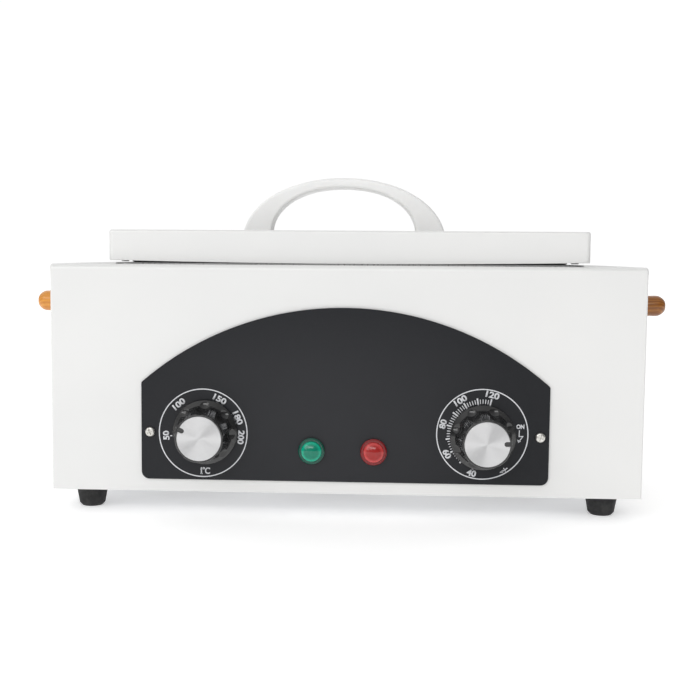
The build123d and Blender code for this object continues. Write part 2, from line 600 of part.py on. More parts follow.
# ---------------------------------------------------------------------------
# power inlet on the back
# ---------------------------------------------------------------------------
def inlet():
    """Local +z points out of the back, z = 0 at the case's back face, local x to the right seen from behind."""
    b = rbox(-25, 25, -11.2, 11.2, 0, 3.2, 5.0)
    b = fillet(b.edges().group_by(Axis.Z)[-1], 0.8)
    b += rbox(-13.6, 13.6, -9.7, 9.7, -15.0, 1, 1.5)
    cav = make_face(Polyline((-12, -8), (12, -8), (12, 3.5), (8, 8), (-8, 8), (-12, 3.5), close=True))
    b -= Pos(0, 0, -13.0) * extrude(cav, 20)
    for sx in (-20, 20):
        b -= cyl_z(sx, 0, 1.65, -2, 6)
    return b


def inlet_pins():
    out = []
    for x, y in ((-7, -2), (7, -2), (0, 2)):
        p = bx(x - 1.0, x + 1.0, y - 2.0, y + 2.0, -25, -1.0)
        p = chamfer(p.edges().group_by(Axis.Z)[-1], 0.6)
        out.append(p)
    return out


INLET = Pos(INLET_X, BACK, INLET_Z) * Rot(-90, 0, 0) * Rot(0, 0, 180)
il = inlet()
pins = inlet_pins()
for p in pins:
    il -= p
save("power_inlet", INLET * il)
save("inlet_pins", [INLET * p for p in pins])
isc = []
for sx in (-20, 20):
    isc.append(Pos(INLET_X + sx, BACK + 3.2, INLET_Z) * TO_BACK * pan_screw(2.8, 1.9, 1.6, 9.0).moved(Location((0, 0, 0))))
    isc.append(hex_y(INLET_X + sx, INLET_Z, 5.5, BACK - SHEET - 2.4, BACK - SHEET)
               - cyl_y(INLET_X + sx, INLET_Z, 1.6, BACK - 8, BACK))
save("inlet_screws", isc)


# ---------------------------------------------------------------------------
# side knobs: turned wood, screwed through the case wall
# ---------------------------------------------------------------------------
def side_knob():
    """Built on +z = away from the case, z = 0 at the case's side."""
    w = 1.2
    dome = 5.8
    prof = make_face([
        Line((0, w), (7.9, w)),
        Line((7.9, w), (8.0, w + 2.2)),
        Spline((8.0, w + 2.2), (6.7, w + 6.5), (6.15, 13.5), (6.3, 19.0), (SIDE_R, SIDE_L - dome)),
        Spline((SIDE_R, SIDE_L - dome), (SIDE_R - 0.75, SIDE_L - 2.9), (SIDE_R - 2.6, SIDE_L - 0.75), (0, SIDE_L),
               tangents=[(0, 1), (-1, 0)]),
        Line((0, SIDE_L), (0, w)),
    ])
    b = revolve(Plane.XZ * prof, axis=Axis.Z)
    b -= cyl_z(0, 0, 2.0, 0, 15)
    return b


RIGHT = Pos(CASE_W / 2, SIDE_Y, SIDE_Z) * TO_RIGHT
LEFT = Pos(-CASE_W / 2, SIDE_Y, SIDE_Z) * TO_LEFT
sk_ = side_knob()
save("right_side_knob", RIGHT * sk_)
save("left_side_knob", LEFT * sk_)
wsh = cyl_z(0, 0, 9.2, 0, 1.2) - cyl_z(0, 0, 2.0, -1, 3)
wsh = fillet(wsh.edges().filter_by(GeomType.CIRCLE).group_by(Axis.Z)[-1].filter_by(lambda e: e.radius > 5), 0.5)
save("side_knob_washers", [RIGHT * wsh, LEFT * wsh])
st = cyl_z(0, 0, 2.0, -8.0, 15.0)
nt = hex_z(0, 0, 7.0, -SHEET - 3.2, -SHEET) - cyl_z(0, 0, 2.0, -9, 1)
save("side_knob_studs", [RIGHT * st, LEFT * st, RIGHT * nt, LEFT * nt])

# ---------------------------------------------------------------------------
# hinges
# ---------------------------------------------------------------------------
K = HINGE_W / 3.0


def ring(x0, x1, bore):
    return cyl_x(HINGE_AX_Y, HINGE_AX_Z, HINGE_R, x0, x1) - cyl_x(HINGE_AX_Y, HINGE_AX_Z, bore, x0 - 1, x1 + 1)


def base_leaf(hx):
    x0, x1 = hx - HINGE_W / 2, hx + HINGE_W / 2
    r_in, r_out = BEND_R, BEND_R + LEAF
    plate = bx(x0, x1, HINGE_AX_Y, BACK - BEND_R, DECK, DECK + LEAF)
    elbow = cyl_x(BACK - BEND_R, DECK - BEND_R, r_out, x0, x1) - cyl_x(BACK - BEND_R, DECK - BEND_R, r_in, x0 - 1, x1 + 1)
    elbow &= bx(x0 - 1, x1 + 1, BACK - BEND_R, BACK + 5, DECK - BEND_R, DECK + 5)
    leg = bx(x0, x1, BACK, BACK + LEAF, DECK - 23, DECK - BEND_R)
    leg = fillet(leg.edges().filter_by(Axis.Y).group_by(Axis.Z)[0], 3.0)
    leaf = plate + elbow + leg
    # middle knuckle space
    leaf -= bx(hx - K / 2 - 0.3, hx + K / 2 + 0.3, HINGE_AX_Y - 5, HINGE_AX_Y + HINGE_R + 0.5, DECK - 1, DECK + 10)
    for a, b in ((x0, hx - K / 2 - 0.3), (hx + K / 2 + 0.3, x1)):
        leaf += cyl_x(HINGE_AX_Y, HINGE_AX_Z, HINGE_R, a, b)
    leaf -= cyl_x(HINGE_AX_Y, HINGE_AX_Z, HINGE_PIN_R, x0 - 1, x1 + 1)
    for sx in (-11, 11):
        leaf -= cyl_y(hx + sx, DECK - 15, 1.65, BACK - 3, BACK + 3)
    return leaf


def lid_leaf(hx):
    x0, x1 = hx - HINGE_W / 2, hx + HINGE_W / 2
    plate = bx(x0, x1, LID_REAR, LID_REAR + LEAF, HINGE_AX_Z + HINGE_R + 0.4, LID_TOP - 1.4)
    plate = fillet(plate.edges().filter_by(Axis.Y).group_by(Axis.Z)[-1], 3.0)
    neck = bx(hx - K / 2, hx + K / 2, LID_REAR, LID_REAR + LEAF, HINGE_AX_Z, HINGE_AX_Z + HINGE_R + 1)
    leaf = plate + neck + cyl_x(HINGE_AX_Y, HINGE_AX_Z, HINGE_R, hx - K / 2, hx + K / 2)
    leaf -= cyl_x(HINGE_AX_Y, HINGE_AX_Z, HINGE_PIN_R + RUN_GAP, x0 - 1, x1 + 1)
    for sx in (-11, 11):
        leaf -= cyl_y(hx + sx, LID_Z + 10.8, 1.65, LID_REAR - 3, LID_REAR + 3)
    return leaf


save("left_hinge_base_leaf", base_leaf(HINGE_X[0]))
save("right_hinge_base_leaf", base_leaf(HINGE_X[1]))
save("left_hinge_lid_leaf", lid_leaf(HINGE_X[0]))
save("right_hinge_lid_leaf", lid_leaf(HINGE_X[1]))
pins_h, bs, ls_ = [], [], []
for hx in HINGE_X:
    p = cyl_x(HINGE_AX_Y, HINGE_AX_Z, HINGE_PIN_R, hx - HINGE_W / 2 - 0.6, hx + HINGE_W / 2 + 0.6)
    p += cyl_x(HINGE_AX_Y, HINGE_AX_Z, 2.3, hx - HINGE_W / 2 - 1.2, hx - HINGE_W / 2)
    p += cyl_x(HINGE_AX_Y, HINGE_AX_Z, 2.3, hx + HINGE_W / 2, hx + HINGE_W / 2 + 1.2)
    pins_h.append(p)
    for k, sx in enumerate((-11, 11)):
        bs.append(Pos(hx + sx, BACK + LEAF, DECK - 15) * TO_BACK * Rot(0, 0, 17 + 50 * k) * pan_screw(2.8, 1.9, 1.6, 7.5))
        ls_.append(Pos(hx + sx, LID_REAR + LEAF, LID_Z + 10.8) * TO_BACK * Rot(0, 0, 40 - 23 * k) * pan_screw(2.8, 1.7, 1.6, 6.0))
save("hinge_pins", pins_h)
save("hinge_base_screws", bs)
save("hinge_lid_screws", ls_)

# ---------------------------------------------------------------------------
# lid
# ---------------------------------------------------------------------------
lx0, lx1 = XC - LID_W / 2, XC + LID_W / 2
lid = bx(lx0, lx1, LID_FRONT, LID_REAR, LID_Z, LID_TOP)
lid = fillet(lid.edges().filter_by(Axis.Z), LID_CORNER)
lid = fillet(lid.edges().group_by(Axis.Z)[-1], 1.5)
lid = fillet(lid.edges().group_by(Axis.Z)[0], 0.5)
lid -= rbox(lx0 + LID_SHEET, lx1 - LID_SHEET, LID_FRONT + LID_SHEET, LID_REAR - LID_SHEET, LID_Z + LID_SHEET, LID_TOP - LID_SHEET,
            LID_CORNER - LID_SHEET)
lid -= rbox(lx0 + LID_LIP, lx1 - LID_LIP, LID_FRONT + LID_LIP, LID_REAR - LID_LIP, LID_Z - 2, LID_Z + 3, 6)
# the front face's lower edge hangs a little lower towards the middle
hem = make_face([Line((XC - HEM_X, LID_Z), (XC - HEM_X, LID_Z + 1.0)), Line((XC - HEM_X, LID_Z + 1.0), (XC + HEM_X, LID_Z + 1.0)),
                 Line((XC + HEM_X, LID_Z + 1.0), (XC + HEM_X, LID_Z)),
                 ThreePointArc((XC + HEM_X, LID_Z), (XC, LID_Z - HEM_DROP), (XC - HEM_X, LID_Z))])
lid += extrude(Plane.XZ.offset(-(LID_FRONT + LID_SHEET)) * hem, LID_SHEET)
for hx in HINGE_X:
    for sx in (-11, 11):
        lid -= cyl_y(hx + sx, LID_Z + 10.8, 1.6, LID_REAR - 3, LID_REAR + 3)
GRIP_SCREW = 53.6
for sx in (-1, 1):
    lid -= cyl_z(GRIP_X + sx * GRIP_SCREW, GRIP_Y, 2.3, LID_TOP - 4, LID_TOP + 2)
rivet_at = []
for sx in (-1, 1):
    for dy in (-62, 0, 62):
        rivet_at.append((XC + sx * (LID_W / 2 - 5.0), YC + dy))
for dx in (-90, 0, 90):
    for sy in (-1, 1):
        rivet_at.append((XC + dx, YC + sy * (LID_D / 2 - 5.0)))
for x, y in rivet_at:
    lid -= cyl_z(x, y, 1.3, LID_Z - 2, LID_Z + 3)
save("lid_shell", lid)

# stainless liner, a shallow tray pressed upwards in the middle
LIN = LID_Z + LID_SHEET
liner = rbox(lx0 + 1.6, lx1 - 1.6, LID_FRONT + 1.6, LID_REAR - 1.6, LIN, LIN + 2.4, 2)
liner -= rbox(lx0 + 26, lx1 - 26, LID_FRONT + 26, LID_REAR - 26, LIN - 1, LIN + 1.6, 12)
rim = rbox(lx0 + 1.0, lx1 - 1.0, LID_FRONT + 1.0, LID_REAR - 1.0, LIN + 0.8, LIN + 4, 2) \
    - rbox(lx0 + 25.2, lx1 - 25.2, LID_FRONT + 25.2, LID_REAR - 25.2, LIN, LIN + 5, 12.8)
liner -= rim
for x, y in rivet_at:
    liner -= cyl_z(x, y, 1.3, LIN - 2, LIN + 3)
save("lid_liner", liner)

rv = []
for x, y in rivet_at:
    r = cyl_z(0, 0, 2.3, -0.7, 0)
    r = fillet(r.edges().filter_by(GeomType.CIRCLE).group_by(Axis.Z)[0], 0.5)
    r += cyl_z(0, 0, 1.3, -0.2, 1.8)
    r += cyl_z(0, 0, 2.0, LID_SHEET + 0.8, LID_SHEET + 2.0)
    rv.append(Pos(x, y, LID_Z) * r)
save("lid_liner_rivets", rv)

gk = rbox(XC - 127.4, XC + 127.4, YC - 74.2, YC + 74.2, TANK_TOP + 0.3, LIN, 12) \
    - rbox(XC - 123.4, XC + 123.4, YC - 70.2, YC + 70.2, TANK_TOP, LIN + 1, 8)
save("lid_gasket", gk)

li = rbox(lx0 + 2.2, lx1 - 2.2, LID_FRONT + 2.2, LID_REAR - 2.2, LIN + 3.2, LID_TOP - LID_SHEET - 0.2, 3)
for sx in (-1, 1):
    li -= cyl_z(GRIP_X + sx * GRIP_SCREW, GRIP_Y, 6.0, LID_TOP - 8, LID_TOP)
for hx in HINGE_X:
    for sx in (-11, 11):
        li -= cyl_y(hx + sx, LID_Z + 10.8, 3.0, LID_REAR - 9, LID_REAR)
save("lid_insulation", li)

# ---------------------------------------------------------------------------
# lid handle: one arched moulding with a flat front and back, deeper towards the top
# ---------------------------------------------------------------------------
def arch_point(spec, u):
    """A point of one arch outline; u runs from 0 at the right foot to 1 at the left foot. z is above the lid."""
    half, high, drop, n = spec
    t0 = math.asin((drop / high) ** (n / 2.0))
    t = t0 + (math.pi - 2 * t0) * u
    c, s = math.cos(t), math.sin(t)
    return half * math.copysign(abs(c) ** (2.0 / n), c), high * s ** (2.0 / n) - drop


def grip():
    secs = []
    n = 15
    for k in range(n):
        u = k / (n - 1)
        xo, zo = arch_point(GRIP_OUT, u)
        xi, zi = arch_point(GRIP_IN, u)
        if k in (0, n - 1):
            zo = zi = 0.0
        mx, mz = (xo + xi) / 2, (zo + zi) / 2
        dx, dz = xo - xi, zo - zi
        thick = math.hypot(dx, dz)
        rise = math.sin(math.pi * u)
        deep = GRIP_DEEP[0] + (GRIP_DEEP[1] - GRIP_DEEP[0]) * rise
        out = Vector(dx, 0, dz).normalized()
        yv = Vector(0, 1, 0)
        pl = Plane(origin=(GRIP_X + mx, GRIP_Y, LID_TOP + mz), x_dir=yv, z_dir=yv.cross(out))
        secs.append(pl * RectangleRounded(deep, thick, 1.3 + 0.9 * rise))
    return loft(secs)


g = grip()
for sx in (-1, 1):
    g -= cyl_z(GRIP_X + sx * GRIP_SCREW, GRIP_Y, 2.0, LID_TOP - 5, LID_TOP + 9)
g -= bx(GRIP_X - 90, GRIP_X + 90, GRIP_Y - 40, GRIP_Y + 40, LID_TOP - 30, LID_TOP)
save("lid_handle", g)
hs = []
for sx in (-1, 1):
    hs.append(Pos(GRIP_X + sx * GRIP_SCREW, GRIP_Y, LID_TOP - LID_SHEET) * TO_DOWN * pan_screw(4.0, 2.6, 2.0, LID_SHEET + 8.0))
save("lid_handle_screws", hs)

# ---------------------------------------------------------------------------
# instrument tray: perforated stainless, standing on the tank's floor
# ---------------------------------------------------------------------------
TR_X, TR_Y, TR_H = 214.0, 108.0, 22.0
tz = TANK_FLOOR
tray = rbox(XC - TR_X / 2, XC + TR_X / 2, YC - TR_Y / 2, YC + TR_Y / 2, tz, tz + TR_H, 12)
tray = fillet(tray.edges().group_by(Axis.Z)[0], 4.0)
cavity = rbox(XC - TR_X / 2 + 0.8, XC + TR_X / 2 - 0.8, YC - TR_Y / 2 + 0.8, YC + TR_Y / 2 - 0.8, tz + 0.8, tz + TR_H + 5, 11.2)
cavity = fillet(cavity.edges().group_by(Axis.Z)[0], 3.2)
lip_o = rbox(XC - TR_X / 2 - 4, XC + TR_X / 2 + 4, YC - TR_Y / 2 - 4, YC + TR_Y / 2 + 4, tz + TR_H - 0.8, tz + TR_H, 16)
tray = tray + lip_o - cavity
perf = []
for i in range(19):
    for j in range(9):
        if (i + j) % 2 == 0:
            perf.append(cyl_z(XC - 90 + i * 10.0, YC - 40 + j * 10.0, 2.6, tz - 1, tz + 2))
tray -= perf
save("instrument_tray", tray)

# tray handles: wire loops at the ends
hw_ = []
for sx in (-1, 1):
    xw = XC + sx * (TR_X / 2 - 0.8 - 1.5)
    pts = [(xw, YC - 24, tz + 8), (xw, YC - 24, tz + 50), (xw, YC + 24, tz + 50), (xw, YC + 24, tz + 8)]
    hw_.append(tube(pts, [8, 8], 1.5))
save("tray_handles", hw_)

for n_, c_ in written:
    print(n_, c_)
print(len(written), "nodes")
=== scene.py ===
"""Looks of a benchtop dry heat sterilizer: finishes, printed dials, seals, light and camera, round its fixed frame."""
import json
import math

import bmesh
import bpy
from mathutils import Matrix, Vector


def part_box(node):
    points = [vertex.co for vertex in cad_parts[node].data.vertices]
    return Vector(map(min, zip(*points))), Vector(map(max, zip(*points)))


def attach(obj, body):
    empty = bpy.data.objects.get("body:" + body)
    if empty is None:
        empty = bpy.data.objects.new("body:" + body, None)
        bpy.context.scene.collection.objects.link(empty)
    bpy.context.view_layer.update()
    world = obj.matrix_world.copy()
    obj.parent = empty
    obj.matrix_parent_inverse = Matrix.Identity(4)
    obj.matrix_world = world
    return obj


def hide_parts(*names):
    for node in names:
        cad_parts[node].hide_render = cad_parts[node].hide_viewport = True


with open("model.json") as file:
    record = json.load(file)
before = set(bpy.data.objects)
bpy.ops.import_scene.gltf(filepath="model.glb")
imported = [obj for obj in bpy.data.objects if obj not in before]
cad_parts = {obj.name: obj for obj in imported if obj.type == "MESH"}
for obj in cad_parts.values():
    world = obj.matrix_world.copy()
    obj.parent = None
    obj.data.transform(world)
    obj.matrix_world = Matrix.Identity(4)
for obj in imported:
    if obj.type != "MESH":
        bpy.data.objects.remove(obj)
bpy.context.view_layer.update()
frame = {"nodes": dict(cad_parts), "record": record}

MM = 0.001
NODES = frame["nodes"]

# ---------------------------------------------------------------------------
# dimensions the looks need, in millimetres, as the frame has them
# ---------------------------------------------------------------------------
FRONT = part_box("outer_shell")[0].y / MM
PANEL_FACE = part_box("front_panel")[0].y / MM
TEMP_C = (-80.0, 47.7)
TIME_C = (78.1, 49.3)
GREEN_C = (-18.0, 38.4)
RED_C = (17.2, 38.4)


# ---------------------------------------------------------------------------
# shader helpers
# ---------------------------------------------------------------------------
class Shader:
    """One procedural material: a Principled shader and the nodes that feed it."""

    def __init__(self, name, **sockets):
        self.mat = bpy.data.materials.new(name)
        self.mat.use_nodes = True
        self.tree = self.mat.node_tree
        self.bsdf = self.tree.nodes["Principled BSDF"]
        for key, value in sockets.items():
            self.set(key, value)
        self.coord = self.tree.nodes.new("ShaderNodeTexCoord")

    def set(self, key, value):
        names = {"base": "Base Color", "rough": "Roughness", "metal": "Metallic", "coat": "Coat Weight", "coat_rough": "Coat Roughness",
                 "spec": "Specular IOR Level", "ior": "IOR", "trans": "Transmission Weight", "aniso": "Anisotropic", "sss": "Subsurface Weight",
                 "sss_scale": "Subsurface Scale", "sheen": "Sheen Weight", "sheen_rough": "Sheen Roughness", "alpha": "Alpha",
                 "coat_ior": "Coat IOR", "aniso_rot": "Anisotropic Rotation"}
        sock = self.bsdf.inputs[names[key]]
        if isinstance(value, bpy.types.NodeSocket):
            self.tree.links.new(value, sock)
        elif key == "base":
            sock.default_value = (*value[:3], 1.0)
        else:
            sock.default_value = value

    def node(self, kind, **props):
        n = self.tree.nodes.new(kind)
        for k, v in props.items():
            setattr(n, k, v)
        return n

    def feed(self, socket, value):
        if isinstance(value, bpy.types.NodeSocket):
            self.tree.links.new(value, socket)
        elif value is not None:
            try:
                socket.default_value = value
            except (TypeError, ValueError):
                socket.default_value = (*value, 1.0) if len(value) == 3 else value

    def at(self, scale=(1, 1, 1), offset=(0, 0, 0), turn=(0, 0, 0), space="Object"):
        m = self.node("ShaderNodeMapping")
        m.vector_type = "POINT"
        self.tree.links.new(self.coord.outputs[space], m.inputs["Vector"])
        m.inputs["Location"].default_value = offset
        m.inputs["Rotation"].default_value = turn
        m.inputs["Scale"].default_value = scale
        return m.outputs["Vector"]

    def noise(self, scale, detail=4.0, rough=0.5, distortion=0.0, vector=None):
        n = self.node("ShaderNodeTexNoise")
        n.inputs["Scale"].default_value = scale
        n.inputs["Detail"].default_value = detail
        n.inputs["Roughness"].default_value = rough
        n.inputs["Distortion"].default_value = distortion
        self.tree.links.new(vector if vector is not None else self.coord.outputs["Object"], n.inputs["Vector"])
        return n.outputs["Fac"]

    def cells(self, scale, feature="F1", vector=None, output="Distance", randomness=1.0):
        n = self.node("ShaderNodeTexVoronoi", feature=feature)
        n.inputs["Scale"].default_value = scale
        n.inputs["Randomness"].default_value = randomness
        self.tree.links.new(vector if vector is not None else self.coord.outputs["Object"], n.inputs["Vector"])
        return n.outputs[output]

    def math(self, op, a, b=0.0, c=0.0, clamp=False):
        n = self.node("ShaderNodeMath", operation=op, use_clamp=clamp)
        for s, v in zip(n.inputs, (a, b, c)):
            self.feed(s, v)
        return n.outputs[0]

    def span(self, value, lo, hi, from_lo=0.3, from_hi=0.7):
        n = self.node("ShaderNodeMapRange")
        n.clamp = True
        self.feed(n.inputs["Value"], value)
        n.inputs["From Min"].default_value = from_lo
        n.inputs["From Max"].default_value = from_hi
        n.inputs["To Min"].default_value = lo
        n.inputs["To Max"].default_value = hi
        return n.outputs["Result"]

    def ramp(self, value, *stops, mode="LINEAR"):
        n = self.node("ShaderNodeValToRGB")
        n.color_ramp.interpolation = mode
        e = n.color_ramp.elements
        while len(e) < len(stops):
            e.new(0.5)
        for el, (p, c) in zip(e, stops):
            el.position = p
            el.color = (*c, 1.0) if len(c) == 3 else c
        self.feed(n.inputs["Fac"], value)
        return n.outputs["Color"]

    def mix(self, fac, a, b, blend="MIX"):
        n = self.node("ShaderNodeMix", data_type="RGBA", blend_type=blend)
        self.feed(n.inputs[0], fac)
        self.feed(n.inputs[6], a)
        self.feed(n.inputs[7], b)
        return n.outputs[2]

    def bump(self, height, distance, strength=1.0, under=None):
        n = self.node("ShaderNodeBump")
        n.inputs["Strength"].default_value = strength
        n.inputs["Distance"].default_value = distance
        self.feed(n.inputs["Height"], height)
        if under is not None:
            self.tree.links.new(under, n.inputs["Normal"])
        return n.outputs["Normal"]

    def normal(self, value):
        self.tree.links.new(value, self.bsdf.inputs["Normal"])
        return self

    def xyz(self, vector=None):
        n = self.node("ShaderNodeSeparateXYZ")
        self.tree.links.new(vector if vector is not None else self.coord.outputs["Object"], n.inputs[0])
        return n.outputs


def radial(sh, vector):
    """Distance from the y axis of the given coordinates."""
    s = sh.xyz(vector)
    return sh.math("SQRT", sh.math("ADD", sh.math("MULTIPLY", s[0], s[0]), sh.math("MULTIPLY", s[2], s[2])))


# ---------------------------------------------------------------------------
# materials
# ---------------------------------------------------------------------------
def case_paint():
    """Baked white enamel on folded sheet: fine orange peel, faint clouding, a little dust."""
    s = Shader("white_enamel", rough=0.4, coat=0.45, coat_rough=0.14, spec=0.5)
    cloud = s.noise(7.0, 3, 0.55)
    tone = s.mix(s.span(cloud, 0, 1), (0.795, 0.797, 0.79), (0.835, 0.833, 0.822))
    dust = s.span(s.noise(2600, 2, 0.7), 0.0, 0.22, 0.70, 0.78)
    s.set("base", s.mix(dust, tone, (0.68, 0.67, 0.65)))
    s.set("rough", s.span(s.noise(38, 5, 0.6), 0.33, 0.45))
    peel = s.bump(s.noise(620, 2, 0.45), 0.00003, 0.55)
    s.normal(s.bump(s.noise(2400, 2, 0.5), 0.000008, 0.35, under=peel))
    return s.mat


def handle_white():
    """White moulded plastic, a shade cooler than the enamel, with soft flow clouding."""
    s = Shader("white_moulding", rough=0.36, spec=0.5, sss=0.06, sss_scale=0.002)
    s.bsdf.inputs["Subsurface Radius"].default_value = (1.0, 0.9, 0.8)
    flow = s.noise(26, 4, 0.6, 0.8, s.at((1.0, 3.0, 1.0)))
    s.set("base", s.mix(s.span(flow, 0, 1), (0.90, 0.90, 0.893), (0.94, 0.938, 0.93)))
    s.set("rough", s.span(s.noise(90, 4, 0.6), 0.30, 0.43))
    s.normal(s.bump(s.noise(1700, 3, 0.6), 0.00001, 0.5))
    return s.mat


def panel_charcoal():
    """Charcoal screen-printed plate with a fine satin grain, its tone painted lighter low in the middle and darker
    towards the edges: a painted sheen.
    """
    s = Shader("charcoal_plate", rough=0.38, spec=0.30, coat=0.05, coat_rough=0.3)
    cloud = s.noise(14, 3, 0.5)
    grain = s.noise(3200, 2, 0.6)
    p = s.xyz()
    # painted sheen: the plate is lighter near a spot low in the middle and darker towards its edges, with a little
    # random clouding mixed in
    painted_sheen_distance = s.math("ADD", s.math("POWER", s.math("MULTIPLY", s.math("ADD", p[0], 0.012), 9.0), 2.0),
                  s.math("POWER", s.math("MULTIPLY", s.math("SUBTRACT", p[2], 0.052), 15.0), 2.0))
    lighter_mix = s.span(s.math("ADD", painted_sheen_distance, s.math("MULTIPLY", cloud, 0.35)), 1.0, 0.0, 0.15, 1.35)
    tone = s.mix(lighter_mix, (0.0050, 0.0058, 0.0085), (0.0185, 0.0192, 0.0225))
    s.set("base", s.mix(s.span(grain, 0.0, 0.14, 0.45, 0.75), tone, (0.034, 0.036, 0.041)))
    s.set("rough", s.span(s.noise(55, 5, 0.6), 0.38, 0.50))
    s.normal(s.bump(grain, 0.00001, 0.45))
    return s.mat


def knob_black():
    """Black phenolic moulding, polished, with random handling haze."""
    s = Shader("black_phenolic", rough=0.2, spec=0.55, coat=0.5, coat_rough=0.09)
    haze = s.noise(160, 5, 0.65)
    s.set("base", s.mix(s.span(haze, 0, 1), (0.006, 0.006, 0.0065), (0.013, 0.013, 0.0135)))
    s.set("rough", s.span(haze, 0.14, 0.24))
    s.normal(s.bump(s.noise(420, 2, 0.5), 0.000008, 0.12))
    return s.mat


def cap_aluminium():
    """Turned aluminium disc: fine circular grooves that catch the light in wedges."""
    s = Shader("turned_aluminium", metal=1.0, rough=0.34, aniso=0.94, aniso_rot=0.25)
    centred = s.at((1, 1, 1), (-0.5, 0.0, -0.5), space="Generated")
    r = radial(s, centred)
    fine = s.node("ShaderNodeTexNoise", noise_dimensions="1D")
    fine.inputs["Scale"].default_value = 260
    fine.inputs["Detail"].default_value = 3
    s.feed(fine.inputs["W"], r)
    groove = fine.outputs["Fac"]
    s.set("base", s.mix(s.span(groove, 0, 1), (0.60, 0.60, 0.61), (0.70, 0.70, 0.70)))
    s.set("rough", s.span(groove, 0.30, 0.38))
    s.normal(s.bump(groove, 0.000004, 0.5))
    tangent = s.node("ShaderNodeTangent", direction_type="RADIAL", axis="Y")
    s.tree.links.new(tangent.outputs[0], s.bsdf.inputs["Tangent"])
    return s.mat


def nickel():
    """Nickel-plated fasteners with fine turning marks and a warm tint."""
    s = Shader("nickel_plate", metal=1.0, rough=0.28)
    worn = s.noise(420, 5, 0.65)
    s.set("base", s.mix(s.span(worn, 0, 1), (0.60, 0.58, 0.54), (0.78, 0.77, 0.74)))
    s.set("rough", s.span(s.noise(900, 4, 0.6), 0.2, 0.4))
    s.normal(s.bump(s.noise(2600, 3, 0.6), 0.00001, 0.35))
    return s.mat


def stainless(name, along, lo=(0.50, 0.50, 0.505), hi=(0.64, 0.64, 0.64)):
    """Brushed stainless sheet: grain along one axis, soft clouding, faint water marks."""
    s = Shader(name, metal=1.0, rough=0.3, aniso=0.45)
    scale = [900.0, 900.0, 900.0]
    scale[along] = 14.0
    grain = s.noise(1.0, 4, 0.6, 0.0, s.at(tuple(scale)))
    cloud = s.noise(11, 4, 0.55)
    tone = s.mix(s.span(grain, 0, 1), lo, hi)
    s.set("base", s.mix(s.span(cloud, 0.0, 0.35), tone, (0.70, 0.69, 0.67)))
    s.set("rough", s.math("ADD", s.span(grain, 0.20, 0.32), s.span(cloud, 0.0, 0.08)))
    s.normal(s.bump(grain, 0.000012, 0.5))
    return s.mat


def zinc():
    """Galvanised sheet: crystalline spangle in cool greys."""
    s = Shader("zinc_spangle", metal=1.0, rough=0.42)
    vec = s.at((1, 1, 1))
    flake = s.cells(170, vector=vec, output="Color")
    grey = s.xyz(flake)[0]
    veins = s.cells(170, feature="DISTANCE_TO_EDGE", vector=vec)
    tone = s.ramp(grey, (0.0, (0.42, 0.43, 0.45)), (0.5, (0.52, 0.53, 0.55)), (1.0, (0.64, 0.65, 0.66)))
    s.set("base", s.mix(s.span(veins, 0.35, 0.0, 0.0, 0.05), tone, (0.40, 0.41, 0.42)))
    s.set("rough", s.math("ADD", s.span(grey, 0.34, 0.48, 0, 1), s.span(s.noise(60, 4), 0.0, 0.08)))
    s.normal(s.bump(s.noise(700, 4, 0.6), 0.00001, 0.4))
    return s.mat


def rubber(name, base=(0.017, 0.017, 0.018), dusty=(0.045, 0.044, 0.042)):
    """Moulded rubber: dull, finely pitted, lighter in random patches of dust."""
    s = Shader(name, rough=0.72, spec=0.35)
    dust = s.noise(150, 6, 0.7)
    s.set("base", s.mix(s.span(dust, 0.0, 1.0, 0.42, 0.72), base, dusty))
    s.set("rough", s.span(s.noise(260, 4), 0.55, 0.78))
    pits = s.bump(s.noise(2100, 3, 0.7), 0.00003, 0.6)
    s.normal(s.bump(s.noise(420, 3, 0.5), 0.00004, 0.3, under=pits))
    return s.mat


def lens_plastic(name, deep, mid, bright, centre):
    """Dyed clear polycarbonate lamp lens with moulded rings: plain in the middle, a lighter ring a little inside the
    dome's edge that is a painted highlight, darker towards the rim.
    """
    s = Shader(name, rough=0.12, spec=0.4, ior=1.50, trans=0.10, coat=0.25, coat_rough=0.05)
    at = s.at((1 / (7.5 * MM),) * 3, (-centre[0] / 7.5, 0, -centre[1] / 7.5))
    r = radial(s, at)
    # painted highlight: the bright ring stands for light caught on the edge of the dome; the colour darkens towards the
    # rim
    tone = s.ramp(r, (0.0, mid), (0.50, mid), (0.66, bright), (0.74, bright), (0.80, deep), (1.0, deep))
    rings = s.math("SINE", s.math("MULTIPLY", r, 62.0))
    s.set("base", s.mix(s.span(rings, 0.0, 0.16, -1, 1), tone, deep))
    s.set("rough", s.span(s.noise(500, 3), 0.06, 0.14))
    s.normal(s.bump(rings, 0.00002, 0.25))
    return s.mat


def plastic(name, lo, hi, rough=(0.4, 0.55), pit=1500):
    s = Shader(name, rough=0.5, spec=0.45)
    cloud = s.noise(70, 4, 0.6)
    s.set("base", s.mix(s.span(cloud, 0, 1), lo, hi))
    s.set("rough", s.span(s.noise(240, 4, 0.6), *rough))
    s.normal(s.bump(s.noise(pit, 3, 0.6), 0.00003, 0.4))
    return s.mat


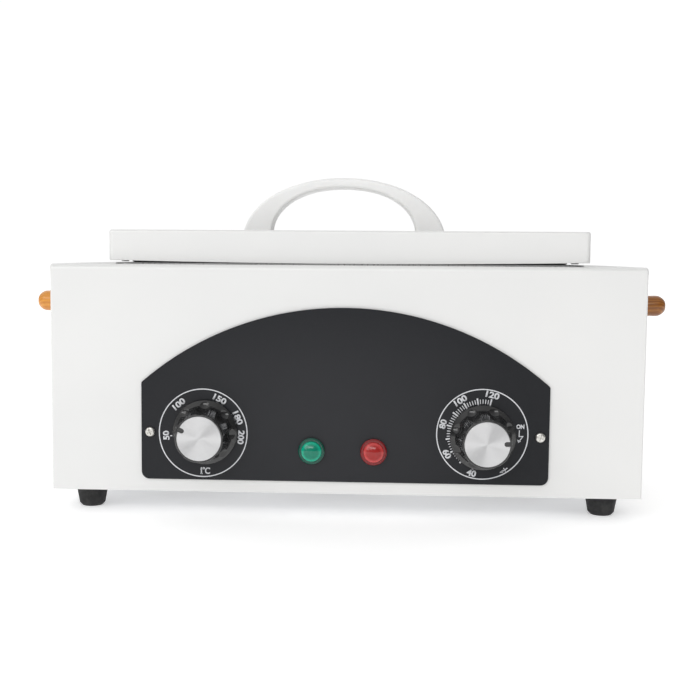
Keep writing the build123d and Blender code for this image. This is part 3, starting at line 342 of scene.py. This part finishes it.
def turned_wood(name, dark, mid, light, pore):
    """Varnished turned beech: rings about the turning axis x, grain along it, pores and end grain on the dome."""
    s = Shader(name, rough=0.34, coat=0.35, coat_rough=0.16, spec=0.4)
    warp = s.node("ShaderNodeTexNoise")
    warp.inputs["Scale"].default_value = 60
    warp.inputs["Detail"].default_value = 3
    s.tree.links.new(s.at((0.25, 1, 1)), warp.inputs["Vector"])
    w = s.xyz(warp.outputs["Color"])
    p = s.xyz()
    # growth rings of the blank, centred off the knob's axis
    yy = s.math("ADD", s.math("ADD", p[1], 0.021), s.math("MULTIPLY", w[0], 0.004))
    zz = s.math("ADD", s.math("SUBTRACT", p[2], 0.098), s.math("MULTIPLY", w[1], 0.004))
    ring = s.math("SQRT", s.math("ADD", s.math("MULTIPLY", yy, yy), s.math("MULTIPLY", zz, zz)))
    band = s.math("SINE", s.math("MULTIPLY", ring, 3600.0))
    grain = s.noise(1.0, 6, 0.65, 0.4, s.at((90, 1500, 1500)))
    tone = s.ramp(s.span(band, 0, 1, -1, 1), (0.0, dark), (0.55, mid), (1.0, light))
    fibre = s.mix(s.span(grain, 0.0, 0.40, 0.50, 0.74), tone, pore)
    s.set("base", fibre)
    s.set("rough", s.span(grain, 0.24, 0.42))
    s.normal(s.bump(grain, 0.00004, 0.35))
    return s.mat


def ink():
    """Screen-printed white ink, slightly uneven at its scale."""
    s = Shader("white_ink", rough=0.5, spec=0.4)
    lighter_mix = s.noise(1500, 4, 0.7)
    s.set("base", s.mix(s.span(lighter_mix, 0, 1, 0.35, 0.65), (0.66, 0.67, 0.70), (0.78, 0.79, 0.81)))
    s.set("rough", s.span(lighter_mix, 0.42, 0.6))
    s.normal(s.bump(lighter_mix, 0.000006, 0.4))
    return s.mat


def fibre_wool():
    """Mineral wool: matted fibres in straw and grey."""
    s = Shader("mineral_wool", rough=0.95, spec=0.15, sheen=0.25, sheen_rough=0.6)
    a = s.noise(1.0, 6, 0.7, 1.6, s.at((420, 90, 420), turn=(0.2, 0.1, 0.6)))
    b = s.noise(1.0, 6, 0.7, 1.6, s.at((90, 420, 420), turn=(0.1, 0.4, 1.9)))
    mat = s.math("MULTIPLY", a, b)
    s.set("base", s.ramp(mat, (0.12, (0.30, 0.26, 0.16)), (0.28, (0.62, 0.56, 0.40)), (0.45, (0.80, 0.76, 0.62))))
    s.normal(s.bump(mat, 0.0012, 0.8))
    return s.mat


def steatite():
    s = Shader("steatite", rough=0.35, spec=0.5)
    s.set("base", s.mix(s.span(s.noise(120, 5, 0.6), 0, 1), (0.74, 0.71, 0.64), (0.84, 0.82, 0.76)))
    s.set("rough", s.span(s.noise(300, 4), 0.28, 0.5))
    s.normal(s.bump(s.noise(900, 3), 0.00004, 0.4))
    return s.mat


def wire_sleeve():
    """Silicone leads in glass-fibre sleeves: a fine braid over a grey-white lead."""
    s = Shader("glass_fibre_sleeve", rough=0.7, spec=0.3)
    v = s.at((1, 1, 1))
    p = s.xyz(v)
    d1 = s.math("SINE", s.math("MULTIPLY", s.math("ADD", s.math("ADD", p[0], p[1]), p[2]), 5200.0))
    d2 = s.math("SINE", s.math("MULTIPLY", s.math("SUBTRACT", s.math("ADD", p[0], p[2]), p[1]), 5200.0))
    weave = s.math("MAXIMUM", d1, d2)
    s.set("base", s.mix(s.span(weave, 0, 1, -0.4, 1.0), (0.46, 0.44, 0.41), (0.70, 0.68, 0.64)))
    s.normal(s.bump(weave, 0.00008, 0.5))
    return s.mat


def metal(name, lo, hi, rough=(0.25, 0.42), grain=700):
    s = Shader(name, metal=1.0, rough=0.35)
    n = s.noise(grain, 5, 0.6)
    s.set("base", s.mix(s.span(n, 0, 1), lo, hi))
    s.set("rough", s.span(s.noise(130, 4, 0.6), *rough))
    s.normal(s.bump(n, 0.00001, 0.4))
    return s.mat


def heater_sheath():
    """Heat-tinted steel tube: straw to blue oxide clouds."""
    s = Shader("heat_tinted_sheath", metal=1.0, rough=0.42)
    n = s.noise(30, 5, 0.6)
    s.set("base", s.ramp(n, (0.30, (0.20, 0.19, 0.22)), (0.48, (0.36, 0.30, 0.24)), (0.65, (0.48, 0.43, 0.36))))
    s.set("rough", s.span(s.noise(200, 4), 0.34, 0.55))
    s.normal(s.bump(s.noise(800, 4), 0.00002, 0.4))
    return s.mat


def bulb_glass():
    s = Shader("clear_bulb", rough=0.04, spec=0.5, ior=1.5, trans=0.85, coat=0.2)
    n = s.noise(300, 3)
    s.set("base", s.mix(s.span(n, 0, 1), (0.92, 0.90, 0.86), (0.98, 0.97, 0.95)))
    s.set("rough", s.span(n, 0.02, 0.07))
    s.normal(s.bump(n, 0.00003, 0.2))
    return s.mat


M = {
    "case_paint": case_paint(),
    "panel_charcoal": panel_charcoal(),
    "knob_black": knob_black(),
    "cap_aluminium": cap_aluminium(),
    "rivet_aluminium": metal("rivet_aluminium", (0.66, 0.66, 0.67), (0.82, 0.82, 0.82)),
    "handle_white": handle_white(),
    "green_lens": lens_plastic("green_lens_plastic", (0.0, 0.080, 0.052), (0.0, 0.235, 0.145), (0.0, 0.46, 0.28), GREEN_C),
    "red_lens": lens_plastic("red_lens_plastic", (0.22, 0.004, 0.006), (0.40, 0.020, 0.018), (0.66, 0.070, 0.068), RED_C),
    "bulb_glass": bulb_glass(),
    "black_plastic": plastic("black_polyamide", (0.012, 0.012, 0.013), (0.022, 0.022, 0.023)),
    "bakelite": plastic("brown_bakelite", (0.030, 0.020, 0.015), (0.055, 0.038, 0.028), (0.3, 0.45)),
    "foot_rubber": rubber("foot_rubber"),
    "silicone": rubber("silicone_seal", (0.76, 0.75, 0.73), (0.82, 0.81, 0.79)),
    "turned_wood": turned_wood("amber_wood", (0.63, 0.240, 0.032), (0.69, 0.280, 0.040), (0.75, 0.330, 0.056), (0.48, 0.165, 0.020)),
    # a darker copy of the amber wood for the right knob: painted shade for the shadow the case casts on it
    "turned_wood_painted_shade": turned_wood("amber_wood_painted_shade", (0.22, 0.070, 0.008), (0.28, 0.098, 0.013), (0.36, 0.135, 0.020), (0.14, 0.040, 0.005)),
    "stainless": stainless("stainless_sheet", 0),
    "stainless_tank": stainless("stainless_drawn", 2, (0.46, 0.46, 0.47), (0.60, 0.60, 0.60)),
    "heater_sheath": heater_sheath(),
    "zinc_steel": zinc(),
    "nickel_screw": nickel(),
    "copper": metal("copper_tube", (0.62, 0.30, 0.18), (0.78, 0.44, 0.28)),
    "brass_pin": metal("nickelled_brass", (0.66, 0.60, 0.48), (0.80, 0.75, 0.64)),
    "mineral_wool": fibre_wool(),
    "steatite": steatite(),
    "wire_sleeve": wire_sleeve(),
}

slot_of = {s["node"]: s["material_slot"] for s in frame["record"]["subparts"]}
OWN = {
    "chamber_tank": "stainless_tank",
    "lid_liner_rivets": "rivet_aluminium",
    # the right knob takes the darker copy of the wood, which is painted shade
    "right_side_knob": "turned_wood_painted_shade",
}
for name, ob in NODES.items():
    mat = M[OWN.get(name, slot_of[name])]
    if len(ob.data.materials) == 0:
        ob.data.materials.append(mat)
    for i in range(len(ob.data.materials)):
        ob.data.materials[i] = mat


# ---------------------------------------------------------------------------
# printed dials
# ---------------------------------------------------------------------------
INK = ink()
PRINT_T = 0.06          # how far the ink stands on the plate, mm


def on_panel(centre, lift=0.0):
    """Matrix from a flat drawing in millimetres (x right, y up) to the front plate."""
    m = Matrix(((1, 0, 0, centre[0]), (0, 0, -1, PANEL_FACE - lift), (0, 1, 0, centre[1]), (0, 0, 0, 1)))
    return Matrix.Scale(MM, 4) @ m


def prism(bm, outline, matrix, holes=()):
    """Adds a flat shape of thickness PRINT_T to bm; outline is a closed list of (x, y)."""
    low = [bm.verts.new(matrix @ Vector((x, y, 0.0))) for x, y in outline]
    top = [bm.verts.new(matrix @ Vector((x, y, PRINT_T))) for x, y in outline]
    n = len(outline)
    bm.faces.new(top)
    bm.faces.new(list(reversed(low)))
    for i in range(n):
        bm.faces.new((low[i], low[(i + 1) % n], top[(i + 1) % n], top[i]))


def annulus(bm, r0, r1, matrix, steps=160):
    rows = []
    for r, z in ((r0, 0.0), (r1, 0.0), (r1, PRINT_T), (r0, PRINT_T)):
        rows.append([bm.verts.new(matrix @ Vector((r * math.cos(2 * math.pi * k / steps), r * math.sin(2 * math.pi * k / steps), z)))
                     for k in range(steps)])
    for a in range(4):
        b = (a + 1) % 4
        for k in range(steps):
            j = (k + 1) % steps
            bm.faces.new((rows[a][k], rows[a][j], rows[b][j], rows[b][k]))


def bar(bm, p, q, width, matrix):
    """A straight printed stroke from p to q."""
    d = (Vector(q) - Vector(p)).normalized()
    n = Vector((-d.y, d.x)) * width / 2
    p, q = Vector(p), Vector(q)
    prism(bm, [tuple(p + n), tuple(p - n), tuple(q - n), tuple(q + n)], matrix)


def stroke(bm, points, width, matrix):
    """A mitred printed polyline."""
    left, right = [], []
    pts = [Vector(p) for p in points]
    for i, p in enumerate(pts):
        if i == 0:
            d = (pts[1] - p).normalized()
            n = Vector((-d.y, d.x))
            k = 1.0
        elif i == len(pts) - 1:
            d = (p - pts[i - 1]).normalized()
            n = Vector((-d.y, d.x))
            k = 1.0
        else:
            a, b = (p - pts[i - 1]).normalized(), (pts[i + 1] - p).normalized()
            t = (a + b).normalized()
            n = Vector((-t.y, t.x))
            k = min(2.0, 1.0 / max(0.35, n.dot(Vector((-a.y, a.x)))))
        left.append(tuple(p + n * width / 2 * k))
        right.append(tuple(p - n * width / 2 * k))
    for i in range(len(pts) - 1):
        prism(bm, [left[i], right[i], right[i + 1], left[i + 1]], matrix)


def lettering(text, height, length, centre, place, turn_deg, weight=0.036):
    """A mesh of generic numerals on the plate, height by length in millimetres. place is (x, y) from the dial's
    centre, turn_deg the text's own turn."""
    cu = bpy.data.curves.new("numerals", "FONT")
    cu.body = text
    cu.size = 1.0
    cu.align_x, cu.align_y = "CENTER", "CENTER"
    cu.resolution_u = 5
    cu.offset = weight
    cu.space_character = 0.98
    ob = bpy.data.objects.new("numerals", cu)
    bpy.context.scene.collection.objects.link(ob)
    bpy.context.view_layer.update()
    me = bpy.data.meshes.new_from_object(ob.evaluated_get(bpy.context.evaluated_depsgraph_get()))
    bpy.data.objects.remove(ob)
    xs = [v.co.x for v in me.vertices]
    ys = [v.co.y for v in me.vertices]
    ky, kx = height / (max(ys) - min(ys)), length / (max(xs) - min(xs))
    mid = Vector(((max(xs) + min(xs)) / 2, (max(ys) + min(ys)) / 2, 0))
    t = math.radians(turn_deg)
    m = on_panel(centre) @ Matrix.Translation((place[0], place[1], 0)) @ Matrix.Rotation(t, 4, "Z") \
        @ Matrix.Diagonal((kx, ky, 1, 1)) @ Matrix.Translation(-mid)
    bm = bmesh.new()
    bm.from_mesh(me)
    bmesh.ops.remove_doubles(bm, verts=bm.verts, dist=1e-5)
    base = list(bm.faces)
    out = bmesh.ops.extrude_face_region(bm, geom=base)
    for v in [g for g in out["geom"] if isinstance(g, bmesh.types.BMVert)]:
        v.co.z += PRINT_T
    bmesh.ops.recalc_face_normals(bm, faces=bm.faces)
    bm.transform(m)
    me2 = bpy.data.meshes.new("numerals")
    bm.to_mesh(me2)
    bm.free()
    bpy.data.meshes.remove(me)
    return me2


def join_print(name, bm, meshes, body="housing"):
    for me in meshes:
        bm.from_mesh(me)
        bpy.data.meshes.remove(me)
    bmesh.ops.recalc_face_normals(bm, faces=bm.faces)
    me = bpy.data.meshes.new(name)
    bm.to_mesh(me)
    bm.free()
    me.materials.append(INK)
    ob = bpy.data.objects.new(name, me)
    bpy.context.scene.collection.objects.link(ob)
    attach(ob, body)
    return ob


def polar(r, deg):
    return r * math.cos(math.radians(deg)), r * math.sin(math.radians(deg))


def temperature_print():
    bm = bmesh.new()
    m = on_panel(TEMP_C)
    annulus(bm, 24.9, 25.5, m)
    bar(bm, polar(17.9, 186.0), polar(19.0, 186.0), 0.6, m)
    out = []
    for text, deg, r, length in (("50", 184.6, 21.3, 5.3), ("100", 130.0, 21.5, 7.8), ("150", 63.7, 21.7, 7.8), ("180", 24.0, 21.8, 7.9),
                                 ("200", -5.8, 21.8, 8.0)):
        out.append(lettering(text, 3.7, length, TEMP_C, polar(r, deg), deg - 90))
    # t with a degree ring and a C, set upright under the dial
    cx, cy = polar(21.8, -86.9)
    stroke(bm, [(cx - 2.2, cy + 1.9), (cx - 2.2, cy - 1.95)], 0.72, m)
    bar(bm, (cx - 2.85, cy - 1.7), (cx - 1.5, cy - 1.7), 0.6, m)
    bar(bm, (cx - 2.85, cy + 0.75), (cx - 1.7, cy + 0.75), 0.5, m)
    ring = on_panel((TEMP_C[0] + cx - 0.85, TEMP_C[1] + cy + 1.35))
    annulus(bm, 0.24, 0.66, ring, 24)
    out.append(lettering("C", 3.9, 3.0, TEMP_C, (cx + 1.35, cy), 0, 0.03))
    return join_print("temperature_dial_print", bm, out)


def timer_print():
    bm = bmesh.new()
    m = on_panel(TIME_C)
    annulus(bm, 25.2, 25.8, m)
    for k in range(41):
        deg = 76.2 + k * 4.49
        major = k % 5 == 0
        bar(bm, polar(17.0 if major else 17.3, deg), polar(20.6 if major else 19.8, deg), 0.85 if major else 0.46, m)
    out = []
    for text, deg, r, length, inward in (("40", 255.8, 22.8, 5.3, True), ("60", 210.4, 22.6, 5.3, True), ("80", 165.8, 22.7, 5.3, False),
                                         ("100", 123.0, 22.75, 7.6, False), ("120", 76.3, 22.95, 7.7, False)):
        out.append(lettering(text, 3.7, length, TIME_C, polar(r, deg), deg + 90 if inward else deg - 90))
    out.append(lettering("ON", 2.6, 4.5, TIME_C, (21.2, 4.7), 0, 0.05))
    # zig-zag arrow under the word
    stroke(bm, [(20.7, 2.7), (20.6, -0.9), (22.7, -0.8), (20.5, -3.9)], 0.5, m)
    prism(bm, [(19.6, -2.6), (20.15, -4.5), (21.75, -3.6)], m)
    # small turning arrow low on the right
    stroke(bm, [(11.2, -21.0), (12.8, -20.2), (14.5, -18.9)], 0.6, m)
    prism(bm, [(10.1, -21.7), (11.9, -19.9), (12.2, -21.5)], m)
    bar(bm, (12.3, -18.9), (13.5, -20.9), 0.5, m)
    return join_print("timer_dial_print", bm, out)


temperature_print()
timer_print()


# ---------------------------------------------------------------------------
# lid seal: a soft rounded bead in place of the plain strip
# ---------------------------------------------------------------------------
def lid_seal():
    lo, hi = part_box("lid_gasket")
    cx, cy = (lo.x + hi.x) / 2, (lo.y + hi.y) / 2
    w = 4.0 * MM
    hx, hy = (hi.x - lo.x) / 2 - w / 2, (hi.y - lo.y) / 2 - w / 2
    rad = 10.0 * MM
    path = []
    for qx, qy, a0 in ((1, 1, 0), (-1, 1, 90), (-1, -1, 180), (1, -1, 270)):
        for k in range(15):
            a = math.radians(a0 + 90 * k / 14)
            path.append(Vector((cx + qx * (hx - rad) + rad * math.cos(a), cy + qy * (hy - rad) + rad * math.sin(a), 0)))
    dense = []
    for i, p in enumerate(path):
        q = path[(i + 1) % len(path)]
        n = max(1, int((q - p).length / 0.004))
        dense += [p.lerp(q, k / n) for k in range(n)]
    # section: flat on top where it is bonded, a low crown with two flutes below
    h = hi.z - lo.z
    sec = [(-0.5, 0.0), (-0.5, -0.45), (-0.42, -0.78), (-0.26, -0.98), (-0.10, -0.90), (0.0, -0.84), (0.10, -0.90), (0.26, -0.98), (0.42, -0.78),
           (0.5, -0.45), (0.5, 0.0)]
    bm = bmesh.new()
    rows = []
    n = len(dense)
    for i, p in enumerate(dense):
        t = (dense[(i + 1) % n] - dense[i - 1]).normalized()
        side = Vector((t.y, -t.x, 0))
        rows.append([bm.verts.new(Vector((p.x, p.y, hi.z)) + side * (u * w) + Vector((0, 0, v * h))) for u, v in sec])
    for i in range(n):
        a, b = rows[i], rows[(i + 1) % n]
        for k in range(len(sec)):
            j = (k + 1) % len(sec)
            bm.faces.new((a[k], a[j], b[j], b[k]))
    bmesh.ops.recalc_face_normals(bm, faces=bm.faces)
    me = bpy.data.meshes.new("lid_seal_bead")
    bm.to_mesh(me)
    bm.free()
    for f in me.polygons:
        f.use_smooth = True
    me.materials.append(M["silicone"])
    ob = bpy.data.objects.new("lid_seal_bead", me)
    bpy.context.scene.collection.objects.link(ob)
    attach(ob, "lid")
    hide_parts("lid_gasket")
    return ob


lid_seal()


# ---------------------------------------------------------------------------
# stage: a pale table top with a rounded front edge, about three metres in front of the object
# ---------------------------------------------------------------------------
def stage():
    s = Shader("pale_table", rough=0.85, spec=0.15)
    s.bsdf.inputs["Emission Color"].default_value = (1.0, 1.0, 1.0, 1.0)
    s.bsdf.inputs["Emission Strength"].default_value = 0.40
    s.set("base", s.mix(s.span(s.noise(1.3, 3), 0, 1), (0.895, 0.895, 0.895), (0.915, 0.915, 0.915)))
    s.normal(s.bump(s.noise(900, 2), 0.00002, 0.3))
    me = bpy.data.meshes.new("table_top")
    bm = bmesh.new()
    x0, x1, y0, y1, r, t = -6.0, 6.0, -3.0, 8.6, 0.02, 0.05
    prof = [(y1, -t), (y1, 0.0)] + [(y0 + r - r * math.sin(math.radians(a)), -r + r * math.cos(math.radians(a))) for a in range(0, 91, 15)] + [(y0, -t)]
    rows = [[bm.verts.new((x, y, z - 0.00002)) for y, z in prof] for x in (x0, x1)]
    for k in range(len(prof) - 1):
        bm.faces.new((rows[0][k], rows[1][k], rows[1][k + 1], rows[0][k + 1]))
    bmesh.ops.recalc_face_normals(bm, faces=bm.faces)
    bm.to_mesh(me)
    bm.free()
    me.materials.append(s.mat)
    ob = bpy.data.objects.new("table_top", me)
    bpy.context.scene.collection.objects.link(ob)


stage()


# ---------------------------------------------------------------------------
# light
# ---------------------------------------------------------------------------
def area(name, at, to, size, energy, colour=(1, 1, 1), shape="RECTANGLE", size_y=None):
    li = bpy.data.lights.new(name, "AREA")
    li.shape = shape
    li.size = size
    li.size_y = size_y or size
    li.energy = energy
    li.color = colour
    ob = bpy.data.objects.new(name, li)
    bpy.context.scene.collection.objects.link(ob)
    ob.location = at
    ob.rotation_euler = (Vector(to) - Vector(at)).to_track_quat("-Z", "Y").to_euler()
    return ob


TARGET = (0.0, -0.02, 0.09)
area("key_softbox", (-1.2, -1.25, 0.85), TARGET, 0.8, 5.0, (1.0, 0.998, 0.99), size_y=1.0)
area("front_softbox", (-0.2, -1.75, 1.0), TARGET, 1.5, 8.4, (1.0, 1.0, 1.0), size_y=0.5)
area("backdrop_flood", (0.0, 5.2, 3.4), (0.0, 5.2, 0.0), 9.0, 110.0, size_y=7.0)


def studio_world():
    """White backdrop, softly bright behind, overhead and on the left, dim room in front and on the right."""
    w = bpy.data.worlds.new("studio")
    w.use_nodes = True
    t = w.node_tree
    co = t.nodes.new("ShaderNodeTexCoord")
    sep = t.nodes.new("ShaderNodeSeparateXYZ")
    t.links.new(co.outputs["Generated"], sep.inputs[0])

    def band(src, f0, f1, t0, t1):
        n = t.nodes.new("ShaderNodeMapRange")
        n.interpolation_type = "SMOOTHSTEP"
        t.links.new(src, n.inputs["Value"])
        for key, v in (("From Min", f0), ("From Max", f1), ("To Min", t0), ("To Max", t1)):
            n.inputs[key].default_value = v
        return n.outputs["Result"]

    def calc(op, a, b):
        n = t.nodes.new("ShaderNodeMath")
        n.operation = op
        for s, v in zip(n.inputs, (a, b)):
            if isinstance(v, bpy.types.NodeSocket):
                t.links.new(v, s)
            else:
                s.default_value = v
        return n.outputs[0]

    x, y, z = sep.outputs
    sky = band(z, 0.05, 0.85, 0.25, WORLD_TOP)
    under = band(z, -0.25, 0.02, 0.6, 1.0)
    side = band(x, -0.5, 0.9, 1.2, 0.6)
    room = calc("MULTIPLY", calc("MULTIPLY", sky, under), side)
    behind = band(y, 0.45, 0.80, 0.0, 1.0)
    lit = calc("ADD", calc("MULTIPLY", room, calc("SUBTRACT", 1.0, behind)), calc("MULTIPLY", behind, 0.62))
    # the backdrop itself is seen white all round, and lights the object less than that
    seen = t.nodes.new("ShaderNodeLightPath").outputs["Is Camera Ray"]
    total = calc("ADD", calc("MULTIPLY", lit, calc("SUBTRACT", 1.0, seen)), calc("MULTIPLY", seen, 1.03))
    t.links.new(total, t.nodes["Background"].inputs["Strength"])
    t.nodes["Background"].inputs["Color"].default_value = (1.0, 1.0, 1.0, 1.0)
    return w


WORLD_TOP = 0.68
bpy.context.scene.world = studio_world()

vs = bpy.context.scene.view_settings
vs.view_transform = "Standard"
vs.look = "None"
vs.exposure = 0.0
vs.gamma = 1.0

# ---------------------------------------------------------------------------
# camera: the photograph's viewpoint, from the fitted pinhole
# ---------------------------------------------------------------------------
YAW, PITCH, ROLL = -0.0554687427, -0.0861314101, 0.00671018555
FOCAL_PX = 1103.303
EYE = Vector((12.303, -620.361 + FRONT, 135.886 + 13.5)) * MM
fwd = Vector((math.sin(YAW) * math.cos(PITCH), math.cos(YAW) * math.cos(PITCH), math.sin(PITCH)))
right = Vector((math.cos(YAW), -math.sin(YAW), 0.0))
up = right.cross(fwd)
rr = right * math.cos(ROLL) + up * math.sin(ROLL)
uu = up * math.cos(ROLL) - right * math.sin(ROLL)
cam_data = bpy.data.cameras.new("camera")
cam = bpy.data.objects.new("camera", cam_data)
bpy.context.scene.collection.objects.link(cam)
cam.matrix_world = Matrix(((rr.x, uu.x, -fwd.x, EYE.x), (rr.y, uu.y, -fwd.y, EYE.y), (rr.z, uu.z, -fwd.z, EYE.z), (0, 0, 0, 1)))
cam_data.sensor_fit = "HORIZONTAL"
cam_data.sensor_width = 36.0
cam_data.lens = FOCAL_PX * 36.0 / 700.0
cam_data.shift_x = (350.0 - 305.0) / 700.0
cam_data.shift_y = 0.0
cam_data.dof.use_dof = False
cam_data.clip_start = 0.01
cam_data.clip_end = 100.0
bpy.context.scene.camera = cam
